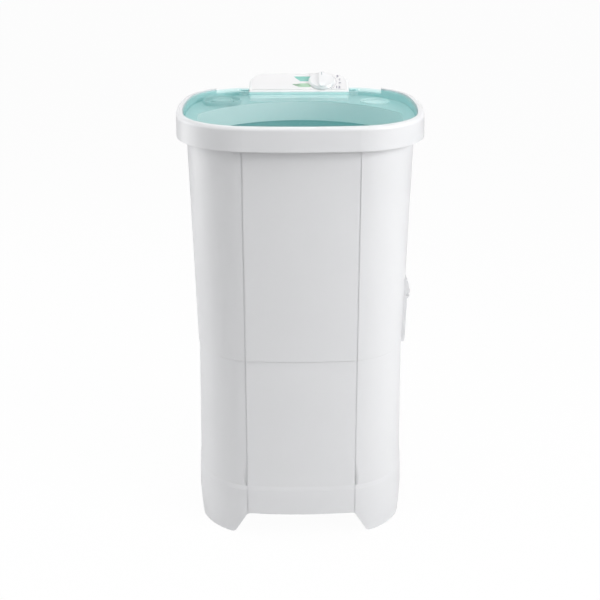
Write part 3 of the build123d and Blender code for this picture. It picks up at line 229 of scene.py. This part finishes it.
plasticLooks = {
    "cabinetWhite": {
        "colour": (0.752, 0.756, 0.769),
        "cloud": (0.742, 0.746, 0.76),
        "roughness": (0.34, 0.44),
    },
    "rimWhite": {
        "colour": (0.752, 0.757, 0.771),
        "cloud": (0.744, 0.749, 0.763),
        "roughness": (0.36, 0.42),
        "bayPaintedShade": (0.46, 0.49, 0.495),  # painted shade: the floor of the two rear bays, under the lid's ends, is painted grey for the shade it lies in
        "bayShadeBox": ((-0.1825, 0.16, 0.8893), (0.1825, 0.23, 0.8907)),
    },
    "dishWhite": {
        "colour": (0.8, 0.81, 0.812),
        "cloud": (0.79, 0.8, 0.803),
        "roughness": (0.3, 0.4),
    },
    # painted shade: the softener cup and cap are made grey, darker than the white plastic, to
    # stand for shade under the lid
    "cupShadeGrey": {
        "colour": (0.48, 0.505, 0.51),
        "cloud": (0.465, 0.49, 0.496),
        "roughness": (0.3, 0.4),
    },
    # painted light and shade: the collar's wall is made whiter than the other white plastic to
    # stand for light, and its top plate grey for shade
    "collarLightPlateShade": {
        "colour": (0.97, 0.971, 0.972),
        "cloud": (0.96, 0.962, 0.964),
        "roughness": (0.29, 0.36),
        "plate": (0.5, 0.535, 0.54),  # painted shade: the flat plate above the collar's wall is painted grey for the shade under the lid
        "plateShadeFrom": 0.8822,
    },
    # painted shade: the tub is made dark grey to stand for the deep shade inside it
    "tubShadeDark": {
        "colour": (0.215, 0.226, 0.236),
        "cloud": (0.195, 0.206, 0.216),
        "roughness": (0.29, 0.38),
    },
    "controlWhite": {
        "colour": (0.8, 0.8, 0.805),
        "cloud": (0.788, 0.788, 0.794),
        "roughness": (0.29, 0.36),
    },
    "fasciaWhite": {
        "colour": (0.79, 0.78, 0.785),
        "cloud": (0.78, 0.771, 0.777),
        "roughness": (0.3, 0.36),
        "grainScale": 2600.0,
    },
    "knobWhite": {
        "colour": (0.79, 0.79, 0.798),
        "cloud": (0.775, 0.775, 0.785),
        "roughness": (0.28, 0.33),
    },
    "serviceGrey": {
        "colour": (0.42, 0.43, 0.44),
        "cloud": (0.36, 0.37, 0.385),
        "roughness": (0.38, 0.5),
        "speckColour": (0.3, 0.3, 0.3),
    },
    "filterGrey": {
        "colour": (0.58, 0.66, 0.67),
        "cloud": (0.53, 0.61, 0.63),
        "roughness": (0.3, 0.42),
    },
    "washPlateWhite": {
        "colour": (0.72, 0.78, 0.79),
        "cloud": (0.68, 0.75, 0.765),
        "roughness": (0.29, 0.36),
    },
    "canWhite": {
        "colour": (0.62, 0.63, 0.62),
        "cloud": (0.57, 0.58, 0.575),
        "roughness": (0.35, 0.45),
    },
}
plasticBasics = {
    "cloudScale": 7.0,
    "cloudDetail": 4.0,
    "speck": 0.04,
    "speckColour": (0.72, 0.71, 0.69),
    "speckPerGrain": 0.37,
    "speckDetail": 2.0,
    "speckSpan": (0.62, 0.8),
    "polishPerCloud": 3.1,
    "polishDetail": 5.0,
    "polishSoft": 0.6,
    "grainScale": 1500.0,
    "grainDetail": 3.0,
    "grainSoft": 0.6,
    "grainDepth": 0.000007,
    "waveScale": 11.0,
    "waveDetail": 2.0,
    "waveDepth": 0.00012,
    "coat": 0.12,
    "coatRoughness": 0.16,
}
metalLooks = {
    "zincSteel": {
        "colour": (0.60, 0.61, 0.62),
        "cloud": (0.48, 0.49, 0.51),
        "roughness": (0.32, 0.5),
        "spangleScale": 160.0,
    },
    "shaftSteel": {
        "colour": (0.56, 0.56, 0.56),
        "cloud": (0.5, 0.5, 0.51),
        "roughness": (0.16, 0.28),
        "markStretch": (1.0, 1.0, 30.0),
        "spangleScale": 420.0,
    },
    "platformSteel": {
        "colour": (0.52, 0.53, 0.54),
        "cloud": (0.40, 0.41, 0.43),
        "roughness": (0.34, 0.55),
        "spangleScale": 70.0,
    },
    "castAlloy": {
        "colour": (0.50, 0.505, 0.51),
        "cloud": (0.42, 0.425, 0.43),
        "roughness": (0.45, 0.65),
        "markScale": 420.0,
        "markDepth": 0.00012,
        "spangleScale": 500.0,
    },
    "bushBronze": {
        "colour": (0.55, 0.36, 0.17),
        "cloud": (0.46, 0.29, 0.13),
        "roughness": (0.28, 0.4),
        "spangleScale": 600.0,
    },
}
metalBasics = {
    "metallic": 1.0,
    "ior": 1.8,
    "patchScale": 3.0,
    "patchDetail": 1.0,
    "stainScale": 22.0,
    "stainDetail": 5.0,
    "stainSoft": 0.65,
    "markStretch": (1.0, 1.0, 1.0),
    "markScale": 700.0,
    "markDepth": 0.00002,
}
rubberLooks = {
    "footRubber": {
        "colour": (0.16, 0.165, 0.17),
        "dust": (0.3, 0.3, 0.29),
        "roughness": (0.6, 0.8),
    },
    "sealRubber": {
        "colour": (0.03, 0.03, 0.032),
        "dust": (0.09, 0.09, 0.09),
        "roughness": (0.5, 0.7),
    },
    "beltRubber": {
        "colour": (0.022, 0.022, 0.023),
        "dust": (0.075, 0.072, 0.068),
        "roughness": (0.6, 0.85),
    },
}
rubberBasics = {
    "dustScale": 60.0,
    "dustDetail": 5.0,
    "dustSoft": 0.65,
    "dustSpan": (0.45, 0.75),
    "grainScale": 900.0,
    "grainDepth": 0.00006,
}

finishes = {}
for makeFinish, basics, looks in (
    (mouldedPlastic, plasticBasics, plasticLooks),
    (metalSheet, metalBasics, metalLooks),
    (rubber, rubberBasics, rubberLooks),
):
    for name, look in looks.items():
        finishes[name] = makeFinish(name, {**basics, **look})

# the lid's tint comes from its colour, seen at a small alpha over what lies below
lidLook = {
    "colour": (0.1, 0.975, 0.96),
    "cloud": (0.1, 0.96, 0.945),
    "skirt": (0.42, 0.86, 0.85),
    "skirtUpTo": 0.8961,
    "cloudScale": 5.0,
    "alpha": 0.162,
    "specular": 0.15,
    "roughness": (0.08, 0.16),
    "ior": 1.45,
    "waveScale": 8.0,
    "waveDetail": 2.0,
    "waveDepth": 0.0006,
    "flowStretch": (1.0, 5.0, 5.0),
}


def tintedLid(name, look):
    finish, tree, shader, place = startFinish(name, look)
    cloud = ranged(tree, noise(tree, place, look["cloudScale"]), 0.0, 1.0)
    colour = blended(tree, cloud, look["colour"], look["cloud"])
    plate = aboveLevel(tree, place, look["skirtUpTo"])
    tree.links.new(blended(tree, plate, look["skirt"], colour), shader.inputs["Base Color"])
    along = stretched(tree, place, look["flowStretch"])
    flow = noise(tree, along, look["waveScale"], look["waveDetail"])
    tree.links.new(ranged(tree, flow, *look["roughness"]), shader.inputs["Roughness"])
    tree.links.new(bumped(tree, flow, look["waveDepth"]), shader.inputs["Normal"])
    return finish


finishes["lidTeal"] = tintedLid("lidTeal", lidLook)
print("finishes made:", len(finishes))

nodeFinish = {
    "upper_cabinet": "cabinetWhite",
    "lower_cabinet": "cabinetWhite",
    "base_frame": "cabinetWhite",
    "foot_pads": "footRubber",
    "rim_frame": "rimWhite",
    "top_deck": "collarLightPlateShade",
    "wash_tub": "tubShadeDark",
    "softener_cup": "cupShadeGrey",
    "softener_cap": "cupShadeGrey",
    "soap_dish": "dishWhite",
    "control_housing": "controlWhite",
    "control_fascia": "fasciaWhite",
    "timer_body": "canWhite",
    "timer_shaft": "shaftSteel",
    "timer_knob": "knobWhite",
    "lid": "lidTeal",
    "hinge_pins": "zincSteel",
    "bearing_housing": "serviceGrey",
    "shaft_bushes": "bushBronze",
    "shaft_seal": "sealRubber",
    "agitator_shaft": "shaftSteel",
    "wash_plate": "washPlateWhite",
    "plate_screw": "shaftSteel",
    "plate_cap": "washPlateWhite",
    "large_pulley": "serviceGrey",
    "motor_pulley": "castAlloy",
    "drive_belt": "beltRubber",
    "drive_platform": "platformSteel",
    "platform_posts": "serviceGrey",
    "post_screws": "zincSteel",
    "motor_body": "castAlloy",
    "motor_bolts": "zincSteel",
    "motor_shaft": "shaftSteel",
    "capacitor": "canWhite",
    "capacitor_strap": "zincSteel",
    "drain_fitting": "serviceGrey",
    "drain_pipe": "serviceGrey",
    "drain_outlet": "cabinetWhite",
    "lint_filter": "filterGrey",
    "rear_cover": "cabinetWhite",
    "cover_screws": "zincSteel",
    "cord_gland": "serviceGrey",
    "side_keeper": "cabinetWhite",
}


def dress(node, finish):
    for slot in node.material_slots:
        slot.material = finish


for nodeName, finishName in nodeFinish.items():
    dress(nodes[nodeName], finishes[finishName])
bareNodes = sorted(set(nodes) - set(nodeFinish))
print("finishes given to", len(nodeFinish), "nodes; without one:", bareNodes)


# the control face: the middle of its lower edge, its lean and how far its plate stands out
face = {"origin": (0.0, 0.150, 0.9015), "tilt": 25.5, "plateTop": 0.3 * mm}
faceLean = Matrix.Rotation(math.radians(face["tilt"]), 4, "X")
faceMatrix = Matrix.Translation(face["origin"]) @ faceLean

# prints on the face, let into its plate and a hair proud of it
# a shape is its upper and its lower end, each as (level, centre, width) in mm
printLooks = {
    "thickness": 0.16 * mm,
    "sunk": 0.05 * mm,
    "corner": 0.6,
    "strokeCorner": 0.3,
    "cornerSteps": 4,
    "tealShapes": [
        ((53.4, 8.8, 39.6), (44.0, 10.4, 30.0)),
        ((43.4, 10.6, 29.0), (35.6, 12.4, 18.4)),
    ],
    "greenShapes": [
        ((27.4, 10.6, 18.0), (22.4, 4.6, 39.0)),
        ((21.8, 6.4, 38.0), (14.0, 13.2, 25.0)),
    ],
    "strokeShapes": [
        ((25.2, -6.6, 15.0), (23.0, -5.6, 15.0)),
        ((21.2, -2.0, 14.0), (19.4, -1.0, 14.0)),
    ],
    "tickRadii": (30.6, 33.4),
    "tickWidth": 1.1,
    "tickAngles": [-50.0, -40.0, -30.0, -20.0, -10.0, 0.0, 10.0, 20.0, 30.0, 40.0],
    "knobCentre": (50.0, 33.5),
    "numbers": [("3", 30.0), ("6", 10.0), ("9", -10.0), ("12", -30.0)],
    "numberRadius": 40.4,
    "numberSize": 11.5,
    "numberBold": 0.32 * mm,
}
printBase = face["plateTop"] - printLooks["sunk"]
printMiddle = printBase + printLooks["thickness"] / 2
knobCentre = Vector((*printLooks["knobCentre"], 0.0)) * mm


def addObject(name, mesh, finish, body):
    mesh.materials.append(finish)
    piece = bpy.data.objects.new(name, mesh)
    bpy.context.collection.objects.link(piece)
    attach(piece, body)
    return piece


def meshOnFace(name, bm):
    bmesh.ops.transform(bm, matrix=faceMatrix, verts=bm.verts)
    mesh = bpy.data.meshes.new(name)
    bm.to_mesh(mesh)
    bm.free()
    return mesh


def addWedge(bm, high, low, thickness, base, corner):
    made = bmesh.ops.create_cube(bm, size=1.0)["verts"]
    for vert in made:
        level, centre, width = high if vert.co.y > 0 else low
        side = 0.5 if vert.co.x > 0 else -0.5
        rise = base + (vert.co.z + 0.5) * thickness
        vert.co = Vector(((centre + side * width) * mm, level * mm, rise))
    upright = {
        edge
        for vert in made
        for edge in vert.link_edges
        if abs(edge.verts[0].co.z - edge.verts[1].co.z) > thickness / 2
    }
    bmesh.ops.bevel(
        bm,
        geom=list(upright),
        offset=corner * mm,
        affect="EDGES",
        segments=printLooks["cornerSteps"],
        profile=0.5,
        material=-1,
    )


def printOnFace(name, shapes, finish, corner=printLooks["corner"]):
    bm = bmesh.new()
    for high, low in shapes:
        addWedge(bm, high, low, printLooks["thickness"], printBase, corner)
    return addObject(name, meshOnFace(name, bm), finish, "cabinet")


def printTicks(name, finish):
    bm = bmesh.new()
    near, far = printLooks["tickRadii"]
    size = ((far - near) * mm, printLooks["tickWidth"] * mm, printLooks["thickness"])
    for angle in printLooks["tickAngles"]:
        made = bmesh.ops.create_cube(bm, size=1.0)["verts"]
        turn = Matrix.Rotation(math.radians(angle), 4, "Z")
        bmesh.ops.scale(bm, vec=size, verts=made)
        bmesh.ops.translate(bm, vec=((near + far) / 2 * mm, 0.0, printMiddle), verts=made)
        bmesh.ops.transform(bm, matrix=turn, verts=made)
    bmesh.ops.translate(bm, vec=knobCentre, verts=bm.verts)
    return addObject(name, meshOnFace(name, bm), finish, "cabinet")


def printNumber(text, angle, finish):
    curve = bpy.data.curves.new("number" + text, "FONT")
    curve.body = text
    curve.size = printLooks["numberSize"] * mm
    curve.align_x = "CENTER"
    curve.align_y = "CENTER"
    curve.extrude = printLooks["thickness"] / 2
    curve.offset = printLooks["numberBold"]
    shown = bpy.data.objects.new("numberCurve" + text, curve)
    mesh = bpy.data.meshes.new_from_object(shown)
    bpy.data.objects.remove(shown)
    radius = printLooks["numberRadius"] * mm
    across = knobCentre.x + radius * math.cos(math.radians(angle))
    up = knobCentre.y + radius * math.sin(math.radians(angle))
    mesh.transform(faceMatrix @ Matrix.Translation((across, up, printMiddle)))
    return addObject("number" + text, mesh, finish, "cabinet")


inkLooks = {
    "tealInk": {"colour": (0.21, 0.53, 0.46), "cloud": (0.25, 0.56, 0.495)},
    "greenInk": {"colour": (0.35, 0.56, 0.39), "cloud": (0.39, 0.59, 0.43)},
    "strokeInk": {"colour": (0.13, 0.32, 0.17), "cloud": (0.16, 0.35, 0.2)},
    "violetInk": {"colour": (0.20, 0.19, 0.26), "cloud": (0.23, 0.22, 0.29)},
    "pointerInk": {"colour": (0.36, 0.42, 0.44), "cloud": (0.4, 0.46, 0.48)},
}
inkBasics = {
    **plasticBasics,
    "roughness": (0.4, 0.5),
    "cloudScale": 60.0,
    "grainScale": 4000.0,
    "grainDepth": 0.000004,
    "coat": 0.0,
}
for name, look in inkLooks.items():
    finishes[name] = mouldedPlastic(name, {**inkBasics, **look})

printOnFace("tealMotif", printLooks["tealShapes"], finishes["tealInk"])
printOnFace("greenMotif", printLooks["greenShapes"], finishes["greenInk"])
strokeCorner = printLooks["strokeCorner"]
printOnFace("greenStrokes", printLooks["strokeShapes"], finishes["strokeInk"], strokeCorner)
printTicks("dialTicks", finishes["violetInk"])
for text, angle in printLooks["numbers"]:
    printNumber(text, angle, finishes["violetInk"])
print("control face printed")


# the knob's pointer, let into the top of its grip
pointerLook = {
    "from": 9.0,
    "to": 19.5,
    "width": 1.5,
    "low": 11.75 * mm,
    "high": 12.28 * mm,
    "corner": 0.4,
}


def makePointer(look, finish):
    bm = bmesh.new()
    high = (look["to"], 0.0, look["width"])
    low = (look["from"], 0.0, look["width"])
    addWedge(bm, high, low, look["high"] - look["low"], look["low"], look["corner"])
    bmesh.ops.translate(bm, vec=knobCentre, verts=bm.verts)
    mesh = meshOnFace("knobPointer", bm)
    return addObject("knobPointer", mesh, finish, "timer_knob")


makePointer(pointerLook, finishes["pointerInk"])
print("pointer set")


# floor and light
stageLook = {
    "floorSize": 60.0,
    "floorColour": (0.9, 0.9, 0.9),
    "floorRoughness": 0.9,
    "floorGlow": 0.97,
    "worldLight": 0.15,
}
lampAim = (0.0, 0.0, 0.55)
lamps = {
    "keyRight": {"place": (2.2, -1.27, 1.68), "size": 1.4, "power": 55.0},
    "frontRight": {"place": (1.41, -2.44, 1.53), "size": 1.2, "power": 2.0},
    "fillLeft": {"place": (-2.28, -1.32, 1.46), "size": 1.4, "power": 8.0},
    "highLeft": {"place": (-1.535, -1.075, 2.581), "size": 1.4, "power": 10.0},
    "edgeLeft": {"place": (-2.65, 0.71, 1.08), "size": 2.2, "power": 34.0},
    "topSoft": {"place": (0.0, -0.23, 3.09), "size": 1.6, "power": 25.0},
    "backHigh": {"place": (0.0, 1.93, 2.8), "size": 1.6, "power": 5.0},
}


def makeFloor(look):
    bm = bmesh.new()
    bmesh.ops.create_grid(bm, x_segments=1, y_segments=1, size=look["floorSize"] / 2)
    mesh = bpy.data.meshes.new("floor")
    bm.to_mesh(mesh)
    bm.free()
    floor = bpy.data.objects.new("floor", mesh)
    bpy.context.collection.objects.link(floor)
    finish = bpy.data.materials.new("paleFloor")
    finish.use_nodes = True
    tree = finish.node_tree
    shader = tree.nodes["Principled BSDF"]
    shader.inputs["Base Color"].default_value = (*look["floorColour"], 1.0)
    shader.inputs["Roughness"].default_value = look["floorRoughness"]
    glow = tree.nodes.new("ShaderNodeEmission")
    rays = tree.nodes.new("ShaderNodeLightPath").outputs
    mix = tree.nodes.new("ShaderNodeMixShader")
    share = computed(tree, "MULTIPLY", rays["Is Camera Ray"], look["floorGlow"])
    for socket, source in zip(mix.inputs, (share, shader.outputs[0], glow.outputs[0])):
        tree.links.new(source, socket)
    tree.links.new(mix.outputs[0], tree.nodes["Material Output"].inputs["Surface"])
    mesh.materials.append(finish)


# plain white where it is seen, mirrored or seen through, and dim as a light
def makeWorld(look):
    world = bpy.data.worlds.new("studio")
    bpy.context.scene.world = world
    world.use_nodes = True
    tree = world.node_tree
    shown = tree.nodes["Background"]
    shown.inputs["Color"].default_value = (1.0, 1.0, 1.0, 1.0)
    rays = tree.nodes.new("ShaderNodeLightPath").outputs
    seen = computed(tree, "MAXIMUM", rays["Is Camera Ray"], rays["Is Glossy Ray"])
    seen = computed(tree, "MAXIMUM", seen, rays["Is Transmission Ray"])
    strength = ranged(tree, seen, look["worldLight"], 1.0, 0.0, 1.0)
    tree.links.new(strength, shown.inputs["Strength"])


def makeLamp(name, lamp):
    light = bpy.data.lights.new(name, "AREA")
    light.size = lamp["size"]
    light.energy = lamp["power"]
    holder = bpy.data.objects.new(name, light)
    holder.location = lamp["place"]
    toward = Vector(lampAim) - Vector(lamp["place"])
    holder.rotation_euler = toward.to_track_quat("-Z", "Y").to_euler()
    bpy.context.collection.objects.link(holder)


makeFloor(stageLook)
makeWorld(stageLook)
for name, lamp in lamps.items():
    makeLamp(name, lamp)
bpy.context.scene.view_settings.view_transform = "Standard"
print("floor and lamps set")
